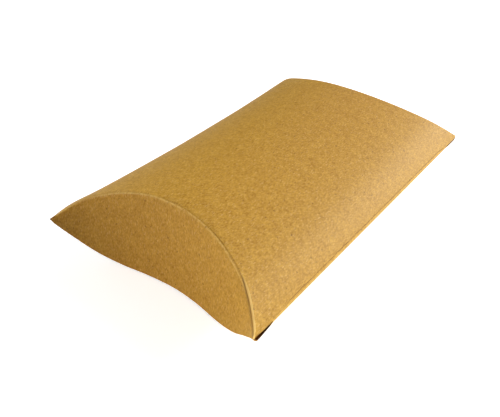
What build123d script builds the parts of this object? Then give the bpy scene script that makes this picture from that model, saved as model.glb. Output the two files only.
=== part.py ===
"""Pillow-shaped favor box folded from one sheet of kraft card.

Millimetres. X runs across the box, Y along it and Z up. The origin lies under the
middle of the box, on the surface that it stands on.
"""
from build123d import *
from math import asin, atan, atan2, cos, radians, sin, sqrt, tan
import os

# Card and overall size
card = 0.42
box_width = 70.0
box_length = 112.6
top_rise = 12.8
bottom_drop = 12.6

# Shape of the arches: how much steeper than a plain arc each is at its edges, and how much
# flatter the top is where its crown ends; the bottom is flat in the middle
top_edge_fullness = 1.285
top_crown_fullness = 0.61
bottom_edge_fullness = 1.4

# Long edges: inner radius of the folds, and how far the seam's fold lies inside the top's raw edge
fold_inner_radius = 0.08
seam_setback = 0.25

# Glued side seam: the film of glue, and the clearance on each of its faces
glue_film = 0.06
glue_clearance = 0.01
glue_margin = 2.2
glue_flap_width = 9.5
glue_flap_setback = 7.5
glue_flap_taper = radians(20.0)

# Curved end creases: how far each bows into the box, the width of its scored strip, and the
# gap that lets the flap turn
crease_bow = 14.1
crease_width = 1.1
crease_gap = 0.15
tip_gap = 0.5

# Outer end flaps: lean from upright, and their free edge seen from the end
outer_flap_lean = radians(10.0)
outer_shoulder_run = 20.0
outer_edge_lift = 0.15
outer_tip_trim = 1.5

# Inner end flaps: lean into the box, clearance under the glue flap, and how much of each tip is cut off
inner_flap_lean = radians(2.0)
inner_flap_clearance = 1.6
inner_tip_trim = 6.0

# Worked out from the above
straight_down = radians(180.0)
tip_height = bottom_drop
half_length = box_length / 2
fold_radius = fold_inner_radius + card
fold_x = box_width / 2 - fold_radius
reach = 2 * box_length

# Top: shoulder arcs tangent to the side fold, and a crown arc tangent to both shoulders
top_plain_slope = 2 * atan((top_rise - fold_radius) / fold_x)
top_edge_slope = top_edge_fullness * top_plain_slope
crown_slope = top_crown_fullness * top_plain_slope
crown_sine = sin(crown_slope)
crown_sag = 1 - cos(crown_slope)
edge_sine = sin(top_edge_slope)
edge_sag = 1 - cos(top_edge_slope)
arch_share = crown_sine * edge_sag - edge_sine * crown_sag
crown_excess = (fold_x * edge_sag - edge_sine * (top_rise - fold_radius)) / arch_share
shoulder_excess = (crown_sine * (top_rise - fold_radius) - fold_x * crown_sag) / arch_share
top_shoulder_radius = fold_radius + shoulder_excess
crown_radius = top_shoulder_radius + crown_excess
top_shoulder_x = fold_x - shoulder_excess * edge_sine
top_shoulder_z = tip_height - shoulder_excess * cos(top_edge_slope)
crown_z = tip_height + top_rise - crown_radius
raw_slope = asin((box_width / 2 - top_shoulder_x) / top_shoulder_radius)

# Bottom: shoulder arcs tangent to the flat middle and to the side fold
bottom_edge_slope = bottom_edge_fullness * 2 * atan((bottom_drop - fold_radius) / fold_x)
bottom_radius = (bottom_drop - fold_radius * cos(bottom_edge_slope)) / (1 - cos(bottom_edge_slope))
bottom_left_x = fold_x - (bottom_radius - fold_radius) * sin(bottom_edge_slope)

# Seam: the fold that turns the bottom up under the top's right-hand edge
seam_x = fold_x - seam_setback
glue_gap = glue_film + 2 * glue_clearance
glue_outer_radius = top_shoulder_radius - card - glue_gap
seam_run = seam_x - top_shoulder_x
seam_z = top_shoulder_z + sqrt((glue_outer_radius - fold_radius) ** 2 - seam_run ** 2)
glue_slope = atan2(seam_run, seam_z - top_shoulder_z)
bottom_right_run = sqrt((bottom_radius - fold_radius) ** 2 - (bottom_radius - seam_z) ** 2)
bottom_right_x = seam_x - bottom_right_run
seam_slope = atan2(bottom_right_run, bottom_radius - seam_z)
seam_length = box_length - 2 * glue_flap_setback

# Creases: each lies in a plane through the tips of its end
top_crease_rake = crease_bow / top_rise
bottom_crease_rake = crease_bow / bottom_drop


def arc(centre_x, centre_z, radius, start, end):
    """Arc seen from the front, its angles counted from straight up toward +X."""
    angles = (start, (start + end) / 2, end)
    return ThreePointArc(*[(centre_x + radius * sin(a), centre_z + radius * cos(a)) for a in angles])


def top_line(offset):
    """The top's outer line moved outward by offset, from the side fold to the raw edge."""
    shoulder = top_shoulder_radius + offset
    return [
        arc(-top_shoulder_x, top_shoulder_z, shoulder, -top_edge_slope, -crown_slope),
        arc(0, crown_z, crown_radius + offset, -crown_slope, crown_slope),
        arc(top_shoulder_x, top_shoulder_z, shoulder, crown_slope, raw_slope),
    ]


def bottom_line(offset):
    """The bottom's outer line moved outward by offset, from the side fold to the seam."""
    radius = bottom_radius + offset
    return [
        arc(-bottom_left_x, bottom_radius, radius, bottom_edge_slope - straight_down, -straight_down),
        Line((-bottom_left_x, -offset), (bottom_right_x, -offset)),
        arc(bottom_right_x, bottom_radius, radius, straight_down, straight_down - seam_slope),
    ]


def front_face(edges):
    """A face standing upright across the box, from edges drawn as (x, z)."""
    return Plane.XZ * make_face(edges)


def band(line, outer, inner):
    """The band between two offsets of a line."""
    first = line(outer)
    second = line(inner)
    return front_face(first + second + [
        Line(first[0] @ 0, second[0] @ 0),
        Line(first[-1] @ 1, second[-1] @ 1),
    ])


def up_to(line, offset, level):
    """Everything between an offset of a line and a level above or below it."""
    edges = line(offset)
    start = edges[0] @ 0
    end = edges[-1] @ 1
    return front_face(edges + [
        Line(start, (start.X, level)),
        Line((start.X, level), (end.X, level)),
        Line((end.X, level), end),
    ])


def within(line):
    """Everything between a line and the straight chord across its ends."""
    edges = line(0)
    return front_face(edges + [Line(edges[0] @ 0, edges[-1] @ 1)])


def along(face, length=2 * reach):
    """A face drawn out along the box, half of the length to each side."""
    return extrude(face, amount=length / 2, dir=(0, 1, 0), both=True)


def crease_plane(rake, rising):
    """Plane of a front crease, through the front tips and facing into the box."""
    return Plane(origin=(0, -half_length, tip_height), x_dir=(1, 0, 0), z_dir=(0, 1, -rising * rake))


def to_rear(shape):
    """The same shape at the rear end."""
    return mirror(shape, about=Plane.XZ)


def drawn(face, start, length, direction):
    """A face drawn out along a direction, from start to start + length."""
    return extrude(Pos(*(direction * start)) * face, amount=length, dir=direction)


class Crease:
    """A front crease, with the spaces that its panel, scored strip and flap are cut from.

    rising is 1 on the top, whose flap runs down, and -1 on the bottom, whose flap runs up.
    """

    def __init__(self, line, rising, rake, lean):
        self.line = line
        self.outside = rising * reach
        self.plane = crease_plane(rake, rising)
        self.direction = Vector(0, -sin(lean), -rising * cos(lean))
        self.slant = rake * cos(lean) - sin(lean)

    def flap_space(self, start):
        """Space of the flap's thickness of card, from a distance along the flap onward."""
        face = section(along(band(self.line, card / self.slant, 0)), section_by=self.plane)
        return drawn(face, start, reach, self.direction)

    def behind_flap(self, distance):
        """Space inside the box that lies a distance or more behind the flap's outer face."""
        face = section(along(up_to(self.line, distance / self.slant, self.outside)), section_by=self.plane)
        return drawn(face, -reach, 2 * reach, self.direction)


def outer_flap_outline():
    """Outline of an outer flap: a flat free edge with round shoulders that run to the tips."""
    side = box_width / 2
    flat = side - outer_shoulder_run
    low = outer_edge_lift
    drop = tip_height - low
    radius = (outer_shoulder_run ** 2 + drop ** 2) / (2 * drop)
    turn = 2 * atan(drop / outer_shoulder_run)
    face = front_face([
        arc(-flat, low + radius, radius, turn - straight_down, -straight_down),
        Line((-flat, low), (flat, low)),
        arc(flat, low + radius, radius, straight_down, straight_down - turn),
        Line((side, tip_height), (side, reach)),
        Line((side, reach), (-side, reach)),
        Line((-side, reach), (-side, tip_height)),
    ])
    return along(face) & Box(box_width - 2 * outer_tip_trim, 2 * reach, 2 * reach)


def inner_flap_outline():
    """Outline of an inner flap: the arch of the top set back, with the tips trimmed square."""
    arch = along(up_to(top_line, -2 * card - glue_gap - inner_flap_clearance, -reach))
    return arch & Box(box_width - 2 * inner_tip_trim, 2 * reach, 2 * reach)


def between_tips(solid):
    """Trims a long piece to the crease planes of both ends."""
    for rising, rake in ((1, top_crease_rake), (-1, bottom_crease_rake)):
        plane = crease_plane(rake, rising).offset(tip_gap)
        for _ in range(2):
            solid = to_rear(split(solid, bisect_by=plane, keep=Keep.TOP))
    return solid


def fold_face(centre_x, centre_z, start, end):
    """Cross-section of a fold, where the card bends round a long edge."""
    outer = arc(centre_x, centre_z, fold_radius, start, end)
    inner = arc(centre_x, centre_z, fold_radius - card, start, end)
    return front_face([outer, inner, Line(outer @ 0, inner @ 0), Line(outer @ 1, inner @ 1)])


def side_fold():
    """The left-hand fold, from tip to tip."""
    face = fold_face(-fold_x, tip_height, -top_edge_slope, bottom_edge_slope - straight_down)
    return between_tips(along(face))


def seam_fold():
    """The right-hand fold, as long as the glue flap."""
    face = fold_face(seam_x, seam_z, glue_slope, straight_down - seam_slope)
    return along(face, seam_length)


def seam_strip(outer_radius, thickness, start, width):
    """A strip on the seam's shoulder arc, start and width measured along the arc from the fold."""
    first = glue_slope - start / outer_radius
    last = first - width / outer_radius
    outer = arc(top_shoulder_x, top_shoulder_z, outer_radius, first, last)
    inner = arc(top_shoulder_x, top_shoulder_z, outer_radius - thickness, first, last)
    return front_face([outer, inner, Line(outer @ 0, inner @ 0), Line(outer @ 1, inner @ 1)])


def tapered(solid):
    """Cuts both ends of a seam strip back toward its inner edge."""
    for end in (-1, 1):
        plane = Plane(
            origin=(seam_x, end * seam_length / 2, 0),
            z_dir=(sin(glue_flap_taper), -end * cos(glue_flap_taper), 0),
        )
        solid = split(solid, bisect_by=plane, keep=Keep.TOP)
    return solid


def glue_flap():
    """The strip under the top's right-hand edge, its ends tapered."""
    return tapered(along(seam_strip(glue_outer_radius, card, 0, glue_flap_width), seam_length))


def glue_line():
    """The glue film, down the middle of the glue flap."""
    outer_radius = glue_outer_radius + glue_clearance + glue_film
    face = seam_strip(outer_radius, glue_film, glue_margin, glue_flap_width - 2 * glue_margin)
    end_margin = glue_margin + glue_flap_width * tan(glue_flap_taper)
    return along(face, seam_length - 2 * end_margin)


def both_ends(pieces):
    """Front pieces and their copies at the rear."""
    rear = {"rear_" + name: to_rear(piece) for name, piece in pieces.items()}
    return {**{"front_" + name: piece for name, piece in pieces.items()}, **rear}


def top_pieces():
    """The top with a scored crease in each end, and the outer flaps that hang from the creases."""
    crease = Crease(top_line, 1, top_crease_rake, outer_flap_lean)
    sheet = along(band(top_line, 0, -card))
    behind_gap = crease.behind_flap(card + crease_gap)
    behind_score = crease.behind_flap(card + crease_gap + crease_width)
    under_top = along(up_to(top_line, 0, -reach))
    ends = {
        "top_crease": (sheet & behind_gap) - behind_score,
        "outer_flap": crease.flap_space(-card) & under_top & outer_flap_outline(),
    }
    return {"top_panel": sheet & behind_score & to_rear(behind_score), **both_ends(ends)}


def bottom_pieces():
    """The bottom with an upright crease at each end, and the inner flaps that stand on the creases."""
    crease = Crease(bottom_line, -1, bottom_crease_rake, -inner_flap_lean)
    sheet = along(band(bottom_line, 0, -card))
    behind_crease = crease.behind_flap(card)
    up_to_tips = along(within(bottom_line))
    ends = {
        "bottom_crease": (crease.flap_space(-card) & up_to_tips) - crease.flap_space(crease_width),
        "inner_flap": crease.flap_space(crease_width + crease_gap) & inner_flap_outline(),
    }
    return {"bottom_panel": sheet & behind_crease & to_rear(behind_crease), **both_ends(ends)}


def seam_pieces():
    """The long edges: the plain fold on the left and the glued seam on the right."""
    return {
        "side_fold": side_fold(),
        "seam_fold": seam_fold(),
        "glue_flap": glue_flap(),
        "glue_line": glue_line(),
    }


os.makedirs("parts", exist_ok=True)
for name, piece in {**top_pieces(), **bottom_pieces(), **seam_pieces()}.items():
    box = piece.bounding_box()
    print(f"{name}: {len(piece.solids())} solid, {piece.volume:.2f} mm3, {box.min} to {box.max}")
    export_step(piece, f"parts/{name}.step")
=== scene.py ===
import bpy
from math import asin, atan2, cos, exp, pi, radians, sin, sqrt
from mathutils import Matrix, Vector, noise


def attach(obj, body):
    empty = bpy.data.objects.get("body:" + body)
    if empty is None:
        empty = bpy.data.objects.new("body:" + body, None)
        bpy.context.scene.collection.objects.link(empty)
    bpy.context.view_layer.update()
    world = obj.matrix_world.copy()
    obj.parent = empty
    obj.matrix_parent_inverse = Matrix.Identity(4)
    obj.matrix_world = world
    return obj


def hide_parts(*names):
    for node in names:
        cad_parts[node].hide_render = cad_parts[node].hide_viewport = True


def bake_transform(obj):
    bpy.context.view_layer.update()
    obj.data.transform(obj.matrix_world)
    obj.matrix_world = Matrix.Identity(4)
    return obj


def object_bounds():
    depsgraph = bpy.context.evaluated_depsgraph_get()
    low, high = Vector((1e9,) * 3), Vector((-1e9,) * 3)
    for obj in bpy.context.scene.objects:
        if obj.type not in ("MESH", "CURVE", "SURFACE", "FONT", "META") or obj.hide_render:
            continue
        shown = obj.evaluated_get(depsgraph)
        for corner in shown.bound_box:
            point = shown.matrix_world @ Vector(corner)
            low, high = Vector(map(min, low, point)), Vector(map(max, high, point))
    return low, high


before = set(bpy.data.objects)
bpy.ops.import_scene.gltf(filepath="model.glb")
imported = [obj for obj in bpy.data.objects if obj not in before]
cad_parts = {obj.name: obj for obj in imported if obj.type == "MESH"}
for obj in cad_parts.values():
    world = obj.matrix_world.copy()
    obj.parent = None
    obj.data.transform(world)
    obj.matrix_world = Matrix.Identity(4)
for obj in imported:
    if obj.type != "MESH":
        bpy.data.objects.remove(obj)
cadLow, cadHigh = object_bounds()
mm = 0.001
tubeBody = "card_tube"
print("frame loaded with", len(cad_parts), "nodes")

# the folded card, in millimetres and degrees
sheet = {
    "card": 0.42,
    "width": (cadHigh.x - cadLow.x) / mm,
    "height": (cadHigh.z - cadLow.z) / mm,
    "length": 112.6,          # tip to tip
    "tipHeight": 12.6,        # tips above the floor
    "foldRadius": 0.5,        # outside of the long folds
    "topEdgeSlope": 50.43,
    "crownSlope": 23.94,
    "bottomEdgeSlope": 54.12,
    "creaseBow": 14.1,        # how far the end creases bow into the box
    "sag": 0.8,               # dip of the top half way along
    "drawIn": 1.55,           # the left-hand fold bows in half way along
    "drawStart": 12.0,
    "drawFull": 32.0,
    "tipPuff": 0.8,           # and stands out a little behind the front tip
    "puffRise": 4.5,          # it rises and dies away over these distances from the tip
    "puffFade": (11.0, 3.5),
    "puffAcross": (29.0, 34.0),
    "waveHeight": 0.05,       # slow unevenness of the board
    "waveLength": 17.0,
    "waveStart": 6.0,         # none of it at the creases
    "waveShift": 40.0,        # so that the ends differ
    "sharpAngle": 48.0,
}
outerFace, innerFace, cutEdge, shadedKnifeEdge = range(4)    # the card's materials, in order; the last, the knife cut, is darkened with painted shade
card = sheet["card"]
tip = sheet["tipHeight"]
halfLength = sheet["length"] / 2
halfWidth = sheet["width"] / 2
rise = sheet["height"] - tip
foldRadius = sheet["foldRadius"]
foldX = halfWidth - foldRadius
topRake = sheet["creaseBow"] / rise
bottomRake = sheet["creaseBow"] / tip

# the glued seam on the right
seam = {
    "glueGap": 0.08,
    "setback": 0.08,          # the seam's fold lies this far inside the raw edge
    "endSetback": 7.5,        # the glue flap stops this far short of the tips
    "flapWidth": 9.5,
    "taper": 20.0,
    "rawWander": 0.13,        # unevenness of the raw edge
    "rawTrim": 0.30,          # it lies this far back half way along
    "rawOverhang": 0.22,      # and this far out near the tips
    "rawSlant": 0.26,         # the knife leaves the cut sloping
    "rawReach": 2.0,          # this much of the top's width takes part
    "rawLengths": (3.1, 0.9),     # of its waves, each with its own row of the noise
    "rawRows": (7.0, 3.0),
    "rawFine": 0.8,           # share of the shorter waves
    "trimRun": (6.0, 18.0),   # distances from the tips over which these come in
    "overhangRun": (0.5, 4.5),
    "slantRun": (3.0, 14.0),
    "edgeShare": 0.9,         # cut edges further out than this are the seam's
    "cornerStand": 0.55,      # free corners of the bottom stand up to the top's edge
    "cornerStep": 0.3,        # they come free over this distance
    "stepMargin": 0.05,
    "cornerDrop": (0.7, 0.0),     # and hang at the tips, front and rear
    "cornerOpen": (8.0, 1.5),
    "cornerShade": 6.0,        # the front one shows its dark cut this far from the tip, painted as the shade of the gap there
    "cornerReach": 6.0,
    "cornerFeather": 0.9,
    "featherAlong": (-1.0, 2.0),
    "featherAcross": (1.0, 0.5),
    "foldMark": 0.8,          # place and width of the worn line on the seam's fold
    "foldMarkWidth": 0.8,
}


def smoothStep(low, high, value):
    share = min(1.0, max(0.0, (value - low) / (high - low)))
    return share * share * (3 - 2 * share)


def spread(start, end, count):
    return [start + (end - start) * i / count for i in range(count + 1)]


def arcStations(centreX, centreZ, radius, start, end, count):
    # (x, z, turn): turn is the outward direction, counted from straight up toward +x
    return [(centreX + radius * sin(a), centreZ + radius * cos(a), a) for a in spread(start, end, count)]


# top: a crown arc between two shoulder arcs, tangent to each other and to the side fold
edgeSlope = radians(sheet["topEdgeSlope"])
crownSlope = radians(sheet["crownSlope"])
arch = sin(crownSlope) * (1 - cos(edgeSlope)) - sin(edgeSlope) * (1 - cos(crownSlope))
crownExtra = (foldX * (1 - cos(edgeSlope)) - sin(edgeSlope) * (rise - foldRadius)) / arch
shoulderExtra = (sin(crownSlope) * (rise - foldRadius) - foldX * (1 - cos(crownSlope))) / arch
shoulderRadius = foldRadius + shoulderExtra
crownRadius = shoulderRadius + crownExtra
shoulderX = foldX - shoulderExtra * sin(edgeSlope)
shoulderZ = tip - shoulderExtra * cos(edgeSlope)
crownZ = sheet["height"] - crownRadius
rawSlope = asin((halfWidth - shoulderX) / shoulderRadius)

# bottom: flat in the middle, with a shoulder arc each side
bottomSlope = radians(sheet["bottomEdgeSlope"])
bottomRadius = (tip - foldRadius * cos(bottomSlope)) / (1 - cos(bottomSlope))
bottomLeftX = foldX - (bottomRadius - foldRadius) * sin(bottomSlope)

# seam: the fold that turns the bottom up under the top's raw edge
seamX = foldX - seam["setback"]
glueRadius = shoulderRadius - card - seam["glueGap"]
seamZ = shoulderZ + sqrt((glueRadius - foldRadius) ** 2 - (seamX - shoulderX) ** 2)
glueSlope = atan2(seamX - shoulderX, seamZ - shoulderZ)
seamRun = sqrt((bottomRadius - foldRadius) ** 2 - (bottomRadius - seamZ) ** 2)
bottomRightX = seamX - seamRun
seamSlope = atan2(seamRun, bottomRadius - seamZ)
seamHalf = halfLength - seam["endSetback"]


def topHeight(x, inward=0.0):
    # height of the top's outer line, or of a line that lies inward of it
    if abs(x) < (crownRadius - inward) * sin(crownSlope):
        return crownZ + sqrt((crownRadius - inward) ** 2 - x * x)
    return shoulderZ + sqrt(max(0.0, (shoulderRadius - inward) ** 2 - (abs(x) - shoulderX) ** 2))


def sagged(point):
    # the arch dips between its stiff ends
    lift = point.z - tip
    if lift <= 0:
        return point
    half = halfLength - topRake * max(0.0, topHeight(min(abs(point.x), halfWidth)) - tip)
    share = max(0.0, 1 - (point.y / half) ** 2)
    return Vector((point.x, point.y, point.z - sheet["sag"] / rise * share * lift))


def drawnIn(point, halfRun):
    # the single fold on the left gives way between the ends, the glued seam on the right does not
    share = max(0.0, 1 - (point.y / halfRun) ** 2)
    share *= smoothStep(sheet["drawStart"], sheet["drawFull"], -point.x)
    behindTip = halfRun + point.y
    puff = smoothStep(0, sheet["puffRise"], behindTip) * smoothStep(*sheet["puffFade"], behindTip)
    puff *= smoothStep(*sheet["puffAcross"], -point.x)
    return Vector((point.x + sheet["drawIn"] * share - sheet["tipPuff"] * puff, point.y, point.z))


def wave(point):
    return sheet["waveHeight"] * noise.noise(point / sheet["waveLength"])


def gridFaces(columns, rows, offset, flip):
    faces = []
    for i in range(columns - 1):
        for j in range(rows - 1):
            corner = offset + i * rows + j
            face = (corner, corner + rows, corner + rows + 1, corner + 1)
            faces.append(face[::-1] if flip else face)
    return faces


def rimFaces(columns, rows, offset, flip):
    # joins the outer and the inner grid along their borders
    border = [i * rows for i in range(columns)]
    border += [(columns - 1) * rows + j for j in range(1, rows)]
    border += [i * rows + rows - 1 for i in range(columns - 2, -1, -1)]
    border += list(range(rows - 2, 0, -1))
    faces = []
    for first, second in zip(border, border[1:] + border[:1]):
        face = (first, first + offset, second + offset, second)
        faces.append(face[::-1] if flip else face)
    return faces


def cardPiece(name, outer, inner, marks, materials, flip=False):
    # a sheet of card from two grids of points
    # marks holds two places on the flat sheet, the distance from the score and the share of its groove
    columns, rows = len(outer), len(outer[0])
    count = columns * rows
    points = [p * mm for grid in (outer, inner) for column in grid for p in column]
    skin = gridFaces(columns, rows, 0, flip)
    lining = gridFaces(columns, rows, count, not flip)
    rim = rimFaces(columns, rows, count, flip)
    mesh = bpy.data.meshes.new(name)
    mesh.from_pydata(points, [], skin + lining + rim)
    for material in materials:
        mesh.materials.append(material)
    faceKinds = [outerFace] * len(skin) + [innerFace] * len(lining) + [cutEdge] * len(rim)
    mesh.polygons.foreach_set("material_index", faceKinds)
    mesh.polygons.foreach_set("use_smooth", [True] * len(mesh.polygons))
    flat = [m for column in marks for m in column]
    place = [v for m in flat for v in (m[0], m[1], 0.0)] + [v for m in flat for v in (m[0], m[1], -card)]
    mesh.attributes.new("sheetPlace", "FLOAT_VECTOR", "POINT").data.foreach_set("vector", place)
    mesh.attributes.new("scoreDistance", "FLOAT", "POINT").data.foreach_set("value", [m[2] for m in flat] * 2)
    mesh.attributes.new("tipShare", "FLOAT", "POINT").data.foreach_set("value", [m[3] for m in flat] * 2)
    mesh.update()
    mesh.set_sharp_from_angle(angle=radians(sheet["sharpAngle"]))
    made = bpy.data.objects.new(name, mesh)
    bpy.context.scene.collection.objects.link(made)
    print("built", name, "with", len(points), "points")
    return made


# the curved end creases, and the flaps that hang from them
crease = {
    "softness": 0.34,         # rounding of the fold
    "leftSoftness": 1.1,      # and toward the left-hand tips
    "rimHeight": 0.06,        # card pushed up beside the score, on the panel
    "rimPlace": 0.4,
    "grooveDepth": 0.46,      # pressed groove beside the score, on the flap, deepest near the tips
    "groovePlace": 0.17,
    "crownShare": 0.10,       # how much of the groove is left at the crown
    "grooveRun": (8.0, 33.0),
    "leftShare": 0.08,        # taken off toward the left
    "leftRun": (-2.0, -16.0),
    "leftSoftRun": (-5.0, -30.0),
    "grooveSharpens": 0.6,    # the fold is sharper where the groove is deep
    "endFade": (0.1, -0.9),   # the fold ends with the flap, between these distances past its width
    "rearMark": -1.0,         # tells the rear creases apart, which carry painted shade
}
outerFlap = {
    "lean": 10.0,
    "halfWidth": 34.9,
    "edgeLift": 0.55,
    "shoulderRun": 22.0,
    "cornerCut": 0.45,        # the right-hand shoulder is cut a little straighter than the left
    "cornerRuns": ((25.0, 30.0), (35.0, 32.0)),    # where each of these comes in and goes out
    "middleLift": 0.3,
    "middleRuns": ((-8.0, 4.0), (22.0, 12.0)),
    "leftDrop": 0.4,
    "leftRuns": ((-18.0, -28.0), (-35.1, -34.2)),
    "bendReach": 15.0,
}
innerFlap = {
    "lean": 2.0,
    "halfWidth": 29.0,
    "clearance": 1.6,
    "bendReach": 12.0,
}
outerLean = radians(outerFlap["lean"])
innerLean = radians(innerFlap["lean"])
outerDown = Vector((0, -sin(outerLean), -cos(outerLean)))
innerUp = Vector((0, sin(innerLean), cos(innerLean)))
along = Vector((0, 1, 0))


def between(runs, x):
    return smoothStep(*runs[0], x) * smoothStep(*runs[1], x)


def outerEdgeHeight(x):
    # free edge of an outer flap: level in the middle, round shoulders that run up to the tips
    low = outerFlap["edgeLift"]
    run = outerFlap["shoulderRun"]
    drop = tip - low
    radius = (run ** 2 + drop ** 2) / (2 * drop)
    past = max(0.0, abs(x) - (halfWidth - run))
    uneven = outerFlap["cornerCut"] * between(outerFlap["cornerRuns"], x)
    uneven += outerFlap["middleLift"] * between(outerFlap["middleRuns"], x)
    uneven -= outerFlap["leftDrop"] * between(outerFlap["leftRuns"], x)
    return low + radius - sqrt(radius ** 2 - past ** 2) + uneven


def innerEdgeHeight(x):
    # free edge of an inner flap: the arch of the top, set back under the glue flap
    return topHeight(x, 2 * card + seam["glueGap"] + innerFlap["clearance"])


def tipShare(x):
    # the score shows as a groove toward the right-hand tips, and least on the left
    return smoothStep(*crease["grooveRun"], x) - crease["leftShare"] * smoothStep(*crease["leftRun"], x)


class CreasePoint:
    # where one line along the sheet meets the front crease of its panel
    def __init__(self, station):
        x, z, turn = station
        rising = 1 if cos(turn) > 0 else -1
        rake = topRake if rising > 0 else bottomRake
        self.halfRun = halfLength - rake * abs(z - tip)
        self.place = Vector((x, -self.halfRun, z))
        self.panelNormal = Vector((sin(turn), 0, cos(turn)))
        self.flapRun = outerDown if rising > 0 else innerUp
        tangent = Vector((cos(turn), -rising * rake * sin(turn), -sin(turn)))
        normal = tangent.cross(self.flapRun).normalized()
        self.flapNormal = normal if normal.y < 0 else -normal
        flapWidth = outerFlap["halfWidth"] if rising > 0 else innerFlap["halfWidth"]
        fadeStart, fadeEnd = crease["endFade"]
        self.share = smoothStep(flapWidth + fadeStart, flapWidth + fadeEnd, abs(x))
        groove = crease["crownShare"] + (1 - crease["crownShare"]) * tipShare(x)
        soft = crease["softness"] * (1 - crease["grooveSharpens"] * groove)
        soft += (crease["leftSoftness"] - soft) * smoothStep(*crease["leftSoftRun"], x)
        self.softness = soft * self.share
        self.groove = crease["grooveDepth"] * groove * self.share
        self.rim = crease["rimHeight"] * groove * self.share
        square = self.place - card * self.panelNormal
        if self.share > 0:
            mitre = self.place - card / along.dot(self.flapNormal) * along
            mitre -= card / self.flapRun.dot(self.panelNormal) * self.flapRun
            self.inside = square.lerp(mitre, self.share)
        else:
            self.inside = square

    def rounded(self, back, forth):
        # point at a distance back along the panel or forth along the flap, with the fold rounded
        reach = back - forth
        root = sqrt(reach ** 2 + self.softness ** 2)
        return self.place + (root + reach) / 2 * along + (root - reach) / 2 * self.flapRun

    def onPanel(self, distance):
        rim = self.rim * hump(distance / crease["rimPlace"])
        return self.rounded(distance, 0) + rim * self.panelNormal

    def onFlap(self, distance):
        groove = self.groove * hump(distance / crease["groovePlace"])
        return self.rounded(0, distance) - groove * self.flapNormal


def hump(share):
    # rises from nothing to 1 at share 1, and dies away
    return share * exp(1 - share)


nearRows = [0, 0.04, 0.09, 0.15, 0.22, 0.3, 0.4, 0.52, 0.68, 0.9, 1.2, 1.7]
meshSteps = {
    "bottomShoulder": 40,
    "flat": 18,
    "fold": 10,
    "leftShoulder": 28,
    "crown": 96,
    "rightShoulder": 32,
    "panelRows": 30,
    "flapRows": 26,
    "glueFlap": 30,
    "glueFilm": 14,
    "seamRows": 120,
}


def rowsTo(end, count):
    # distances from a crease: close together at first, then evenly to the end
    close = min(1.0, end / (2 * nearRows[-1]))
    near = [close * row for row in nearRows]
    return near + spread(near[-1], end, count)[1:]


def sleeveStations():
    # from the seam, along the bottom to the left, round the side fold and back over the top
    flat = [(x, 0.0, pi) for x in spread(bottomRightX, -bottomLeftX, meshSteps["flat"])]
    side = meshSteps["bottomShoulder"]
    leftEdge, leftCrown = 2 * pi - edgeSlope, 2 * pi - crownSlope
    rightCrown, rightEdge = 2 * pi + crownSlope, 2 * pi + rawSlope
    runs = [
        arcStations(bottomRightX, bottomRadius, bottomRadius, pi - seamSlope, pi, side),
        flat,
        arcStations(-bottomLeftX, bottomRadius, bottomRadius, pi, pi + bottomSlope, side),
        arcStations(-foldX, tip, foldRadius, pi + bottomSlope, leftEdge, meshSteps["fold"]),
        arcStations(-shoulderX, shoulderZ, shoulderRadius, leftEdge, leftCrown, meshSteps["leftShoulder"]),
        arcStations(0, crownZ, crownRadius, leftCrown, rightCrown, meshSteps["crown"]),
        arcStations(shoulderX, shoulderZ, shoulderRadius, rightCrown, rightEdge, meshSteps["rightShoulder"]),
    ]
    stations = runs[0]
    for run in runs[1:]:
        stations = stations + run[1:]
    return stations


def flatDistances(stations):
    # distance of each station along the flat sheet, counted from the seam
    found = [0.0]
    for before, after in zip(stations, stations[1:]):
        found.append(found[-1] + sqrt((after[0] - before[0]) ** 2 + (after[1] - before[1]) ** 2))
    return found


stations = sleeveStations()
acrossPlaces = flatDistances(stations)


def mirrored(point):
    return Vector((point.x, -point.y, point.z))


def cornerSet(point):
    # beyond the ends of the glue flap the bottom's right-hand edge is free
    near = smoothStep(bottomRightX + seamRun - seam["cornerReach"], bottomRightX + seamRun, point.x)
    fromTip = halfLength - abs(point.y)
    freeFrom = seam["endSetback"] - seam["cornerStep"]
    stand = seam["cornerStand"] * smoothStep(seam["endSetback"], freeFrom, fromTip)
    drop = seam["cornerDrop"][0 if point.y < 0 else 1] * smoothStep(*seam["cornerOpen"], fromTip)
    return point + near * (stand * Vector((cos(seamSlope), 0, sin(seamSlope))) - Vector((0, 0, drop)))


def cornerFeathered(point, turn):
    # and its cut slopes inward there
    edgeX = bottomRightX + seamRun
    before, after = seam["featherAlong"]
    wide, narrow = seam["featherAcross"]
    past = smoothStep(seamHalf + before, seamHalf + after, abs(point.y))
    past *= smoothStep(edgeX - wide, edgeX - narrow, point.x)
    return point + seam["cornerFeather"] * past * Vector((cos(turn), 0, -sin(turn)))


def rawEdgeShift(point, slant):
    # the knife's raw edge wanders a little along the right-hand side
    near = smoothStep(halfWidth - seam["rawReach"], halfWidth, point.x)
    slow, quick = seam["rawLengths"]
    slowRow, quickRow = seam["rawRows"]
    wander = noise.noise(Vector((point.y / slow, slowRow, 0)))
    wander += seam["rawFine"] * noise.noise(Vector((point.y / quick, quickRow, 0)))
    fromTip = halfLength - abs(point.y)
    trim = (seam["rawTrim"] + seam["rawOverhang"]) * smoothStep(*seam["trimRun"], fromTip)
    trim -= seam["rawOverhang"] * smoothStep(*seam["overhangRun"], fromTip)
    shift = trim + (slant + seam["rawWander"] * wander) * smoothStep(*seam["slantRun"], fromTip)
    return -near * shift * Vector((cos(rawSlope), 0, -sin(rawSlope)))


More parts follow.
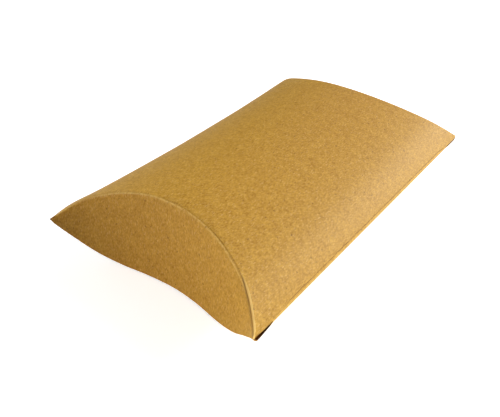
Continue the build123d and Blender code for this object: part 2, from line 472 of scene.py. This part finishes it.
def sleeveColumn(station, across):
    point = CreasePoint(station)
    turn = station[2]
    stepRows = [seam["endSetback"] - seam["cornerStep"], seam["endSetback"] + seam["stepMargin"]]
    distances = sorted(rowsTo(point.halfRun, meshSteps["panelRows"]) + stepRows)
    insideRun = -point.inside.y
    outer, inner, marks = [], [], []
    for distance in distances:
        p = point.onPanel(distance)
        q = point.inside + distance / point.halfRun * insideRun * along
        outer.append(p)
        inner.append(q)
        marks.append((across, -(point.halfRun - distance), -distance, tipShare(station[0])))
    outer += [mirrored(p) for p in outer[-2::-1]]
    inner += [mirrored(p) for p in inner[-2::-1]]
    marks += [(m[0], -m[1], m[2], crease["rearMark"]) for m in marks[-2::-1]]
    upper = cos(turn) > 0
    for grid in (outer, inner):
        for j, p in enumerate(grid):
            if upper:
                fade = smoothStep(0, sheet["waveStart"], -marks[j][2])
                p = sagged(p) + fade * wave(p) * point.panelNormal
                p = p + rawEdgeShift(p, seam["rawSlant"] if grid is outer else 0.0)
            else:
                if grid is inner:
                    p = cornerFeathered(p, turn)
                p = cornerSet(p)
            grid[j] = drawnIn(p, point.halfRun)
    return outer, inner, marks


def buildSleeve(materials):
    columns = [sleeveColumn(s, a) for s, a in zip(stations, acrossPlaces)]
    outer, inner, marks = zip(*columns)
    made = cardPiece("cardSleeve", outer, inner, marks, materials, flip=True)
    rows = len(outer[0])
    for face in made.data.polygons:
        # the seam's raw edge is darker, and so is the bottom's at the front tip; both carry painted shade of
        # the gap beside them
        if face.material_index == cutEdge and face.center.x > seam["edgeShare"] * halfWidth * mm:
            onBottom = min(face.vertices) < rows
            fromTip = halfLength + face.center.y / mm
            face.material_index = outerFace if onBottom and fromTip > seam["cornerShade"] else shadedKnifeEdge
    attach(made, tubeBody)
    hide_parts("top_panel", "bottom_panel", "side_fold")


def flapColumn(station, across, edgeHeight, end):
    point = CreasePoint(station)
    length = (edgeHeight(station[0]) - station[1]) / point.flapRun.z
    outer, inner, marks = [], [], []
    distances = rowsTo(length, meshSteps["flapRows"])
    insideEnd = point.onFlap(length) - card * point.flapNormal
    for distance in distances:
        p = point.onFlap(distance)
        q = point.inside.lerp(insideEnd, distance / length)
        wavePlace = p + Vector((0, 0, sheet["waveShift"] * end))
        lift = smoothStep(0, sheet["waveStart"], distance) * wave(wavePlace)
        p = p + lift * point.flapNormal
        q = q + lift * point.flapNormal
        outer.append(p if end < 0 else mirrored(p))
        inner.append(q if end < 0 else mirrored(q))
        groove = tipShare(station[0]) if end < 0 else crease["rearMark"]
        marks.append((across, end * (point.halfRun + distance), distance, groove))
    return outer, inner, marks


def buildFlap(name, nodes, settings, rising, edgeHeight, end, materials):
    chosen = [
        (s, a) for s, a in zip(stations, acrossPlaces)
        if rising * cos(s[2]) > 0 and abs(s[0]) <= settings["halfWidth"]
    ]
    columns = [flapColumn(s, a, edgeHeight, end) for s, a in chosen]
    outer, inner, marks = zip(*columns)
    made = cardPiece(name, outer, inner, marks, materials, flip=end > 0)
    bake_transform(made)
    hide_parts(*nodes)


def buildFlaps(materials):
    for end, side in ((-1, "front"), (1, "rear")):
        buildFlap(side + "OuterFlap", (side + "_outer_flap", side + "_top_crease"),
                  outerFlap, 1, outerEdgeHeight, end, materials)
        buildFlap(side + "InnerFlap", (side + "_inner_flap", side + "_bottom_crease"),
                  innerFlap, -1, innerEdgeHeight, end, materials)


def buildGlueFlap(materials):
    # the seam's fold and the strip that is glued under the top's right-hand edge
    stripTurn = seam["flapWidth"] / glueRadius
    fold = arcStations(seamX, seamZ, foldRadius, pi - seamSlope, glueSlope, meshSteps["fold"])
    stripEnd = glueSlope - stripTurn
    strip = arcStations(shoulderX, shoulderZ, glueRadius, glueSlope, stripEnd, meshSteps["glueFlap"])
    line = fold + strip[1:]
    places = flatDistances(line)
    foldLength = places[len(fold) - 1]
    outer, inner, marks = [], [], []
    for (x, z, turn), place in zip(line, places):
        half = seamHalf - max(0.0, place - foldLength) * sin(radians(seam["taper"]))
        normal = Vector((sin(turn), 0, cos(turn)))
        ys = [half * share for share in spread(-1, 1, meshSteps["seamRows"])]
        outer.append([sagged(Vector((x, y, z))) for y in ys])
        inner.append([sagged(Vector((x, y, z)) - card * normal) for y in ys])
        fromMark = (place - seam["foldMark"] * foldLength) / seam["foldMarkWidth"]
        marks.append([(-place, y, fromMark, -crease["leftShare"]) for y in ys])
    made = cardPiece("glueFlap", outer, inner, marks, materials, flip=False)
    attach(made, tubeBody)
    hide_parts("seam_fold", "glue_flap")


glue = {
    "margin": 2.2,            # it stops this far short of the flap's edges
    "borderMean": 0.92,
    "borderWander": 0.16,
    "borderLength": 2.3,
    "borderLayer": 1.0,       # of the noise
    "clearance": 0.01,
    "farFromScore": 9.0,      # no score marks on it
}


def buildGlue(material):
    # a film of dried glue with an uneven border
    margin = glue["margin"] / glueRadius
    start = glueSlope - margin
    end = glueSlope - seam["flapWidth"] / glueRadius + margin
    half = seamHalf - glue["margin"] - seam["flapWidth"] * sin(radians(seam["taper"]))
    outer, inner, marks = [], [], []
    for share in spread(-1, 1, meshSteps["glueFilm"]):
        column = ([], [], [])
        for y in spread(-half, half, meshSteps["seamRows"]):
            ripple = noise.noise(Vector((y / glue["borderLength"], share, glue["borderLayer"])))
            ragged = glue["borderMean"] + glue["borderWander"] * ripple
            turn = (start + end) / 2 + share * ragged * (start - end) / 2
            direction = Vector((sin(turn), 0, cos(turn)))
            centre = Vector((shoulderX, y, shoulderZ))
            column[0].append(sagged(centre + (glueRadius + seam["glueGap"] - glue["clearance"]) * direction))
            column[1].append(sagged(centre + (glueRadius + glue["clearance"]) * direction))
            column[2].append((turn * glueRadius, y, glue["farFromScore"], 0.0))
        outer.append(column[0])
        inner.append(column[1])
        marks.append(column[2])
    made = cardPiece("glueFilm", outer, inner, marks, [material] * 3, flip=False)
    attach(made, tubeBody)
    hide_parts("glue_line")


# node helpers
def addNode(tree, kind, inputs=None, **settings):
    node = tree.nodes.new("ShaderNode" + kind)
    for key, value in settings.items():
        setattr(node, key, value)
    for key, value in (inputs or {}).items():
        if isinstance(value, bpy.types.NodeSocket):
            tree.links.new(value, node.inputs[key])
        else:
            node.inputs[key].default_value = value
    return node


def mixColour(tree, share, first, second, blend="MIX"):
    node = addNode(tree, "Mix", data_type="RGBA", blend_type=blend)
    for key, value in ((0, share), (6, first), (7, second)):
        if isinstance(value, bpy.types.NodeSocket):
            tree.links.new(value, node.inputs[key])
        else:
            node.inputs[key].default_value = value
    return node.outputs[2]


def mapped(tree, value, low, high, toLow=0.0, toHigh=1.0):
    ranges = {"Value": value, "From Min": low, "From Max": high, "To Min": toLow, "To Max": toHigh}
    return addNode(tree, "MapRange", ranges, interpolation_type="SMOOTHSTEP").outputs["Result"]


def maths(tree, operation, first, second=0.0, third=0.0):
    node = addNode(tree, "Math", {0: first, 1: second, 2: third}, operation=operation)
    return node.outputs[0]


def product(tree, *factors):
    made = factors[0]
    for factor in factors[1:]:
        made = maths(tree, "MULTIPLY", made, factor)
    return made


def stretched(tree, place, scale, turn=0.0, shift=(0, 0, 0)):
    settings = {"Vector": place, "Scale": scale, "Rotation": (0, 0, radians(turn)), "Location": shift}
    return addNode(tree, "Mapping", settings).outputs["Vector"]


def noiseValue(tree, place, scale, detail=2.0, roughness=0.5):
    settings = {"Vector": place, "Scale": scale, "Detail": detail, "Roughness": roughness}
    return addNode(tree, "TexNoise", settings).outputs["Fac"]


def newGroup(name, inputs, outputs):
    group = bpy.data.node_groups.new(name, "ShaderNodeTree")
    for socketName, kind, value in inputs:
        socket = group.interface.new_socket(socketName, in_out="INPUT", socket_type="NodeSocket" + kind)
        if value is not None:
            socket.default_value = value
    for socketName, kind in outputs:
        group.interface.new_socket(socketName, in_out="OUTPUT", socket_type="NodeSocket" + kind)
    start = group.nodes.new("NodeGroupInput")
    end = group.nodes.new("NodeGroupOutput")
    return group, start.outputs, end.inputs


# the paper's pulp, laid out in millimetres on the flat sheet
pulpLook = {
    "clouds": (0.28, 1.0, 0.5),            # noise: scale, detail, roughness
    "flocks": (0.85, 2.0, 0.55),
    "flockStretch": ((1.0, 0.8, 1.0), 30),
    "grain": (2.1, 2.5, 0.65),
    "grainStretch": ((1.0, 0.6, 1.0), -15),
    "gains": (("Red", 1.0), ("Green", 1.3), ("Blue", 2.4)),
    "strands": (1.6, 1.5, 0.5),
    "strandStretch": (2.6, 0.42, 1.0),
    "strandTurns": ((12, (0, 0, 0)), (-24, (31, 7, 0)), (68, (5, 53, 0)), (-63, (17, 29, 0))),
    "palePart": (0.62, 0.75),
    "paleColour": (0.78, 0.52, 0.20, 1),
    "darkPart": (0.33, 0.23),
    "darkColour": (0.22, 0.095, 0.012, 1),
    "specks": (1.25, 1.0, 0.4),
    "speckStretch": ((1.0, 0.7, 1.0), 20, (90, 40, 0)),
    "speckPart": (0.70, 0.76),
    "speckColour": (0.12, 0.05, 0.008, 1),
    "heightShares": (0.7, 0.3),            # grain and pale fibres
    "roughness": (0.16, 0.50),             # change with the grain, and least
    "bumpDepth": 0.00006,
}


def fibreGroup():
    # clouds, flocks and grain, then pale and dark fibres, then specks
    group, given, made = newGroup(
        "pulpFibres",
        [("Place", "Vector", None), ("Colour", "Color", (0.45, 0.25, 0.05, 1)), ("Clouds", "Float", 0.1),
         ("Flocks", "Float", 0.25), ("Grain", "Float", 0.5), ("Fibres", "Float", 0.3),
         ("Specks", "Float", 0.5)],
        [("Colour", "Color"), ("Height", "Float"), ("Roughness", "Float")])
    place = given["Place"]
    clouds = noiseValue(group, place, *pulpLook["clouds"])
    flocks = noiseValue(group, stretched(group, place, *pulpLook["flockStretch"]), *pulpLook["flocks"])
    grain = noiseValue(group, stretched(group, place, *pulpLook["grainStretch"]), *pulpLook["grain"])
    uneven = None
    for layer, strength in ((clouds, "Clouds"), (flocks, "Flocks"), (grain, "Grain")):
        part = product(group, maths(group, "SUBTRACT", layer, 0.5), given[strength])
        uneven = part if uneven is None else maths(group, "ADD", uneven, part)
    tone = addNode(group, "CombineColor")
    for channel, gain in pulpLook["gains"]:
        group.links.new(maths(group, "MULTIPLY_ADD", uneven, gain, 1.0), tone.inputs[channel])
    toned = mixColour(group, 1.0, given["Colour"], tone.outputs["Color"], "MULTIPLY")
    pale, dark = None, None
    for turn, shift in pulpLook["strandTurns"]:
        strandPlace = stretched(group, place, pulpLook["strandStretch"], turn, shift)
        strands = noiseValue(group, strandPlace, *pulpLook["strands"])
        light = mapped(group, strands, *pulpLook["palePart"])
        shade = mapped(group, strands, *pulpLook["darkPart"])
        pale = light if pale is None else maths(group, "MAXIMUM", pale, light)
        dark = shade if dark is None else maths(group, "MAXIMUM", dark, shade)
    paled = mixColour(group, product(group, pale, given["Fibres"]), toned, pulpLook["paleColour"])
    darkened = mixColour(group, product(group, dark, given["Fibres"]), paled, pulpLook["darkColour"])
    specks = noiseValue(group, stretched(group, place, *pulpLook["speckStretch"]), *pulpLook["specks"])
    speckShare = product(group, mapped(group, specks, *pulpLook["speckPart"]), given["Specks"])
    dotted = mixColour(group, speckShare, darkened, pulpLook["speckColour"])
    grainShare, paleShare = pulpLook["heightShares"]
    height = maths(group, "ADD", product(group, grain, grainShare), product(group, pale, paleShare))
    group.links.new(dotted, made["Colour"])
    group.links.new(height, made["Height"])
    group.links.new(maths(group, "MULTIPLY_ADD", grain, *pulpLook["roughness"]), made["Roughness"])
    return group


# some of these marks are painted highlight, sheen and shade
# marks along the folds: each run says where a mark comes in, in millimetres from the score (plus is the flap)
# or by the share of the groove
scoreLook = {
    "broken": (1.3, 2.0, 0.6),                  # noise: scale, detail, roughness
    "patches": (0.32, 0.64, 0.15, 1.0),
    "front": (-0.6, -0.1),
    "driftLeft": (-0.015, 0.0, 0.0, 0.3),       # the worn line leaves the crease on its way to the right
    "lineWidth": (0.5, 0.1),
    "lineEnd": (0.93, 0.8),
    "lineColour": (0.66, 0.44, 0.11, 1),
    "besideStart": (0.0, 0.1),                  # thin painted sheen beside it on the flap
    "besideWidth": (1.6, 0.3, 0.0, 0.3),
    "besideLeft": (-0.08, -0.01),
    "besideEnd": (0.9, 0.7),
    "highlightShift": (0.6, 1.0, 0.0, 0.78),          # pale rim near the right-hand tip: painted highlight on the panel's rim, running onto the flap
    "highlightStart": (-0.6, -0.25),
    "highlightStop": (0.1, -0.2),
    "highlightRun": (0.65, 0.97, 0.0, 0.9),
    "highlightColour": (0.79, 0.52, 0.165, 1),
    "grooveShadeSpread": (0.75, 1.0, 0.15, 1.5),    # painted shade in the groove on the flap past the rim, which widens toward the tip
    "grooveShadeStart": (-0.15, 0.15),
    "grooveShadeStop": (2.0, 0.4),
    "grooveShadeRun": (0.3, 0.6),
    "grooveShadeTip": (0.8, 1.0, 1.0, 0.7),
    "behindStart": (-0.06, -0.16),              # painted shade as a dark line on the panel's side
    "behindStop": (-0.5, -0.24),
    "behindRun": (0.0, 0.08),
    "behindEnd": (0.5, 0.25, 0.0, 0.75),
    "shadeStart": (0.0, -0.25),                 # soft shade on the panel
    "shadeBeside": (-1.5, -0.7, 0.0, 0.11),
    "shadeAround": (-11.0, -2.0, 0.0, 0.07),
    "shadeLeft": (-0.02, 0.0),
    "shadeEnd": (0.7, 0.2),
    "rearShadeWidth": (0.24, 0.06),                # the rear creases are darkened with painted shade
    "rearShadeRun": (-0.3, -0.9, 0.0, 0.4),
    # colour of all the painted shade along the creases
    "darkColour": (0.06, 0.025, 0.006, 1),
}


def scoreGroup():
    group, given, made = newGroup(
        "scoreLine",
        [("Place", "Vector", None), ("Colour", "Color", (0.45, 0.25, 0.05, 1)), ("Distance", "Float", 0.0),
         ("Tip", "Float", 0.0), ("Ridge", "Float", 0.5), ("ShadeStrength", "Float", 0.7)],
        [("Colour", "Color"), ("Height", "Float")])
    distance, tips = given["Distance"], given["Tip"]

    def run(value, key):
        return mapped(group, value, *scoreLook[key])

    broken = noiseValue(group, given["Place"], *scoreLook["broken"])
    patchy = run(broken, "patches")
    drift = maths(group, "ADD", run(tips, "driftLeft"), maths(group, "MAXIMUM", tips, 0.0))
    fromLine = maths(group, "ABSOLUTE", maths(group, "SUBTRACT", distance, drift))
    line = product(group, run(fromLine, "lineWidth"), run(tips, "lineEnd"), patchy)
    # the pale band on the flap beside the crease is painted sheen; the pale line on the crease is worn card
    beside = product(group, run(distance, "besideStart"), run(distance, "besideWidth"),
                     run(tips, "besideLeft"), run(tips, "besideEnd"), patchy)
    wearAndSheen = product(group, maths(group, "MAXIMUM", line, beside), run(tips, "front"), given["Ridge"])
    lineAndSheenColour = mixColour(group, wearAndSheen, given["Colour"], scoreLook["lineColour"])
    # painted highlight along the panel's rim near the right-hand tip, running onto the flap
    pastHighlight = maths(group, "SUBTRACT", distance, run(tips, "highlightShift"))
    rim = product(group, run(distance, "highlightStart"), run(pastHighlight, "highlightStop"), run(tips, "highlightRun"))
    highlighted = mixColour(group, rim, lineAndSheenColour, scoreLook["highlightColour"])
    # painted shade in the groove on the flap, beyond the painted highlight
    widened = maths(group, "DIVIDE", pastHighlight, run(tips, "grooveShadeSpread"))
    grooveShade = product(group, run(pastHighlight, "grooveShadeStart"), run(widened, "grooveShadeStop"),
                      run(tips, "grooveShadeRun"), run(tips, "grooveShadeTip"))
    # painted shade on the panel beside the crease: a dark line, and a soft band around it
    behind = product(group, run(distance, "behindStart"), run(distance, "behindStop"),
                     run(tips, "behindRun"), run(tips, "behindEnd"), patchy)
    dimmed = maths(group, "ADD", run(distance, "shadeBeside"), run(distance, "shadeAround"))
    shade = product(group, run(distance, "shadeStart"), dimmed, run(tips, "shadeLeft"), run(tips, "shadeEnd"))
    # painted shade along the rear creases
    fromScore = maths(group, "ABSOLUTE", distance)
    rearShade = product(group, run(fromScore, "rearShadeWidth"), patchy, run(tips, "rearShadeRun"))
    # all the painted shade is mixed in here with one dark colour
    dark = maths(group, "MAXIMUM", grooveShade, behind)
    dark = maths(group, "MAXIMUM", dark, maths(group, "MAXIMUM", rearShade, shade))
    shadedColour = mixColour(group, product(group, dark, given["ShadeStrength"]), highlighted, scoreLook["darkColour"])
    group.links.new(shadedColour, made["Colour"])
    group.links.new(product(group, line, broken), made["Height"])
    return group


pulp = fibreGroup()
score = scoreGroup()


def kraftMaterial(name, look):
    material = bpy.data.materials.new(name)
    material.use_nodes = True
    tree = material.node_tree
    shader = tree.nodes["Principled BSDF"]
    place = addNode(tree, "Attribute", attribute_name="sheetPlace").outputs["Vector"]
    distance = addNode(tree, "Attribute", attribute_name="scoreDistance").outputs["Fac"]
    tips = addNode(tree, "Attribute", attribute_name="tipShare").outputs["Fac"]
    fibres = addNode(tree, "Group", node_tree=pulp)
    tree.links.new(place, fibres.inputs["Place"])
    for key in ("Colour", "Clouds", "Flocks", "Grain", "Fibres", "Specks"):
        fibres.inputs[key].default_value = look[key]
    line = addNode(tree, "Group", node_tree=score)
    tree.links.new(place, line.inputs["Place"])
    tree.links.new(fibres.outputs["Colour"], line.inputs["Colour"])
    tree.links.new(distance, line.inputs["Distance"])
    tree.links.new(tips, line.inputs["Tip"])
    for key in ("Ridge", "ShadeStrength"):
        line.inputs[key].default_value = look[key]
    tree.links.new(line.outputs["Colour"], shader.inputs["Base Color"])
    tree.links.new(fibres.outputs["Roughness"], shader.inputs["Roughness"])
    height = maths(tree, "ADD", fibres.outputs["Height"], line.outputs["Height"])
    settings = {"Strength": look["Bump"], "Distance": pulpLook["bumpDepth"], "Height": height}
    bump = addNode(tree, "Bump", settings)
    tree.links.new(bump.outputs["Normal"], shader.inputs["Normal"])
    shader.inputs["Specular IOR Level"].default_value = look["Gloss"]
    return material


# Ridge scales the worn line and the painted sheen, ShadeStrength the painted shade at the creases
kraftOuter = {
    "Colour": (0.446, 0.234, 0.0275, 1),
    "Clouds": 0.26, "Flocks": 0.52, "Grain": 1.08, "Fibres": 0.4, "Specks": 0.6,
    "Ridge": 0.72, "ShadeStrength": 0.64, "Bump": 0.35, "Gloss": 0.22,
}
kraftInner = {
    "Colour": (0.430, 0.222, 0.036, 1),
    "Clouds": 0.15, "Flocks": 0.35, "Grain": 0.60, "Fibres": 0.25, "Specks": 0.5,
    "Ridge": 0.2, "ShadeStrength": 0.0, "Bump": 0.4, "Gloss": 0.2,
}
kraftEdge = {
    "Colour": (0.340, 0.165, 0.036, 1),
    "Clouds": 0.2, "Flocks": 0.4, "Grain": 0.9, "Fibres": 0.35, "Specks": 0.6,
    "Ridge": 0.0, "ShadeStrength": 0.0, "Bump": 0.8, "Gloss": 0.2,
}
# the knife cut's near-black colour is partly the dark raw cut and partly painted shade of the crevice and gap
# beside it
kraftKnifeAndShade = {
    "Colour": (0.120, 0.045, 0.012, 1),
    "Clouds": 0.3, "Flocks": 0.5, "Grain": 1.2, "Fibres": 0.35, "Specks": 0.6,
    "Ridge": 0.0, "ShadeStrength": 0.0, "Bump": 0.8, "Gloss": 0.1,
}
glueLook = {
    "patches": (0.5, 3.0, 0.55),           # noise: scale, detail, roughness
    "patchPart": (0.35, 0.7),
    "thinColour": (0.50, 0.40, 0.24, 1),
    "thickColour": (0.66, 0.60, 0.46, 1),
    "roughness": (0.2, 0.8, 0.22, 0.45),
    "ripples": (2.2, 3.0),
    "bump": 0.4,
    "bumpDepth": 0.00005,
}


def glueMaterial():
    material = bpy.data.materials.new("driedGlue")
    material.use_nodes = True
    tree = material.node_tree
    shader = tree.nodes["Principled BSDF"]
    place = addNode(tree, "Attribute", attribute_name="sheetPlace").outputs["Vector"]
    patches = noiseValue(tree, place, *glueLook["patches"])
    thick = mapped(tree, patches, *glueLook["patchPart"])
    colour = mixColour(tree, thick, glueLook["thinColour"], glueLook["thickColour"])
    tree.links.new(colour, shader.inputs["Base Color"])
    tree.links.new(mapped(tree, patches, *glueLook["roughness"]), shader.inputs["Roughness"])
    height = noiseValue(tree, place, *glueLook["ripples"])
    settings = {"Strength": glueLook["bump"], "Distance": glueLook["bumpDepth"], "Height": height}
    bump = addNode(tree, "Bump", settings)
    tree.links.new(bump.outputs["Normal"], shader.inputs["Normal"])
    return material


cardFaces = [kraftMaterial("kraftOuter", kraftOuter), kraftMaterial("kraftInner", kraftInner),
             kraftMaterial("kraftCutEdge", kraftEdge), kraftMaterial("kraftKnifeEdgeAndShade", kraftKnifeAndShade)]
buildSleeve(cardFaces)
buildGlueFlap(cardFaces)
buildGlue(glueMaterial())
buildFlaps(cardFaces)

# floor, light and camera
studio = {
    "floorSize": 1.3,
    "floorDrop": 0.00003,
    "floorColour": (0.92, 0.92, 0.92, 1),
    "floorRoughness": 0.9,
    "floorGloss": 0.1,
    "floorGlow": 0.55,        # a light table: the floor is lit from below
    "ambient": 0.005,
    "lights": [
        # name, direction from the box, distance, size, watts, colour
        ("keyLight", (0.50, 0.75, 0.45), 1.4, 0.9, 30.9, (0.985, 1.0, 0.975)),
        ("fillLight", (-0.72, -0.60, 0.40), 0.9, 0.6, 7.4, (1.0, 0.965, 0.90)),
        ("leftLight", (-0.90, 0.0, 0.45), 0.9, 0.6, 1.5, (0.40, 0.83, 1.0)),
        ("rightLight", (0.95, 0.20, 0.22), 0.9, 0.6, 3.15, (0.97, 1.0, 0.77)),
        ("frontLight", (0.40, -0.88, 0.27), 0.9, 0.6, 0.4, (1.0, 0.2, 0.1)),
        ("backLight", (-0.20, 0.85, 0.42), 0.9, 0.6, 1.3, (0.50, 0.40, 1.0)),
    ],
}
camera = {
    "azimuth": 37.248,
    "elevation": 36.622,
    "roll": 0.409,
    "distance": 171.484,
    "target": (5.191, -18.543, tip),
    "lens": 43.931,           # on a 36 mm wide frame
    "clipStart": 0.01,
}


def buildFloor():
    half = studio["floorSize"] / 2
    mesh = bpy.data.meshes.new("studioFloor")
    corners = [(-half, -half), (half, -half), (half, half), (-half, half)]
    mesh.from_pydata([(x, y, -studio["floorDrop"]) for x, y in corners], [], [(0, 1, 2, 3)])
    material = bpy.data.materials.new("studioFloor")
    material.use_nodes = True
    shader = material.node_tree.nodes["Principled BSDF"]
    shader.inputs["Base Color"].default_value = studio["floorColour"]
    seen = addNode(material.node_tree, "LightPath").outputs["Is Camera Ray"]
    glow = mixColour(material.node_tree, seen, (0, 0, 0, 1), (1, 1, 1, 1))
    material.node_tree.links.new(glow, shader.inputs["Emission Color"])
    shader.inputs["Emission Strength"].default_value = studio["floorGlow"]
    shader.inputs["Roughness"].default_value = studio["floorRoughness"]
    shader.inputs["Specular IOR Level"].default_value = studio["floorGloss"]
    mesh.materials.append(material)
    floor = bpy.data.objects.new("studioFloor", mesh)
    bpy.context.scene.collection.objects.link(floor)


def buildLights():
    world = bpy.data.worlds.new("studioWorld")
    world.use_nodes = True
    seen = addNode(world.node_tree, "LightPath").outputs["Is Camera Ray"]
    dim = (studio["ambient"],) * 3 + (1,)
    sky = mixColour(world.node_tree, seen, dim, (1, 1, 1, 1))    # white to the eye only
    world.node_tree.links.new(sky, world.node_tree.nodes["Background"].inputs["Color"])
    bpy.context.scene.world = world
    for name, direction, distance, size, watts, colour in studio["lights"]:
        data = bpy.data.lights.new(name, "AREA")
        data.shape = "DISK"
        data.size = size
        data.energy = watts
        data.color = colour
        light = bpy.data.objects.new(name, data)
        outward = Vector(direction).normalized()
        light.location = outward * distance
        light.rotation_euler = outward.to_track_quat("Z", "Y").to_euler()
        bpy.context.scene.collection.objects.link(light)


def buildCamera():
    azimuth, elevation, roll = (radians(camera[key]) for key in ("azimuth", "elevation", "roll"))
    back = Vector((sin(azimuth) * cos(elevation), -cos(azimuth) * cos(elevation), sin(elevation)))
    right = Vector((cos(azimuth), sin(azimuth), 0))
    up = back.cross(right)
    tiltedRight = right * cos(roll) + up * sin(roll)
    tiltedUp = up * cos(roll) - right * sin(roll)
    data = bpy.data.cameras.new("photoCamera")
    data.lens = camera["lens"]
    data.clip_start = camera["clipStart"]
    eye = bpy.data.objects.new("photoCamera", data)
    bpy.context.scene.collection.objects.link(eye)
    turn = Matrix((tiltedRight, tiltedUp, back)).transposed().to_4x4()
    place = (Vector(camera["target"]) + camera["distance"] * back) * mm
    eye.matrix_world = Matrix.Translation(place) @ turn
    bpy.context.scene.camera = eye


buildFloor()
buildLights()
buildCamera()
bpy.context.scene.view_settings.view_transform = "Standard"
print("stage, lights and camera in place")
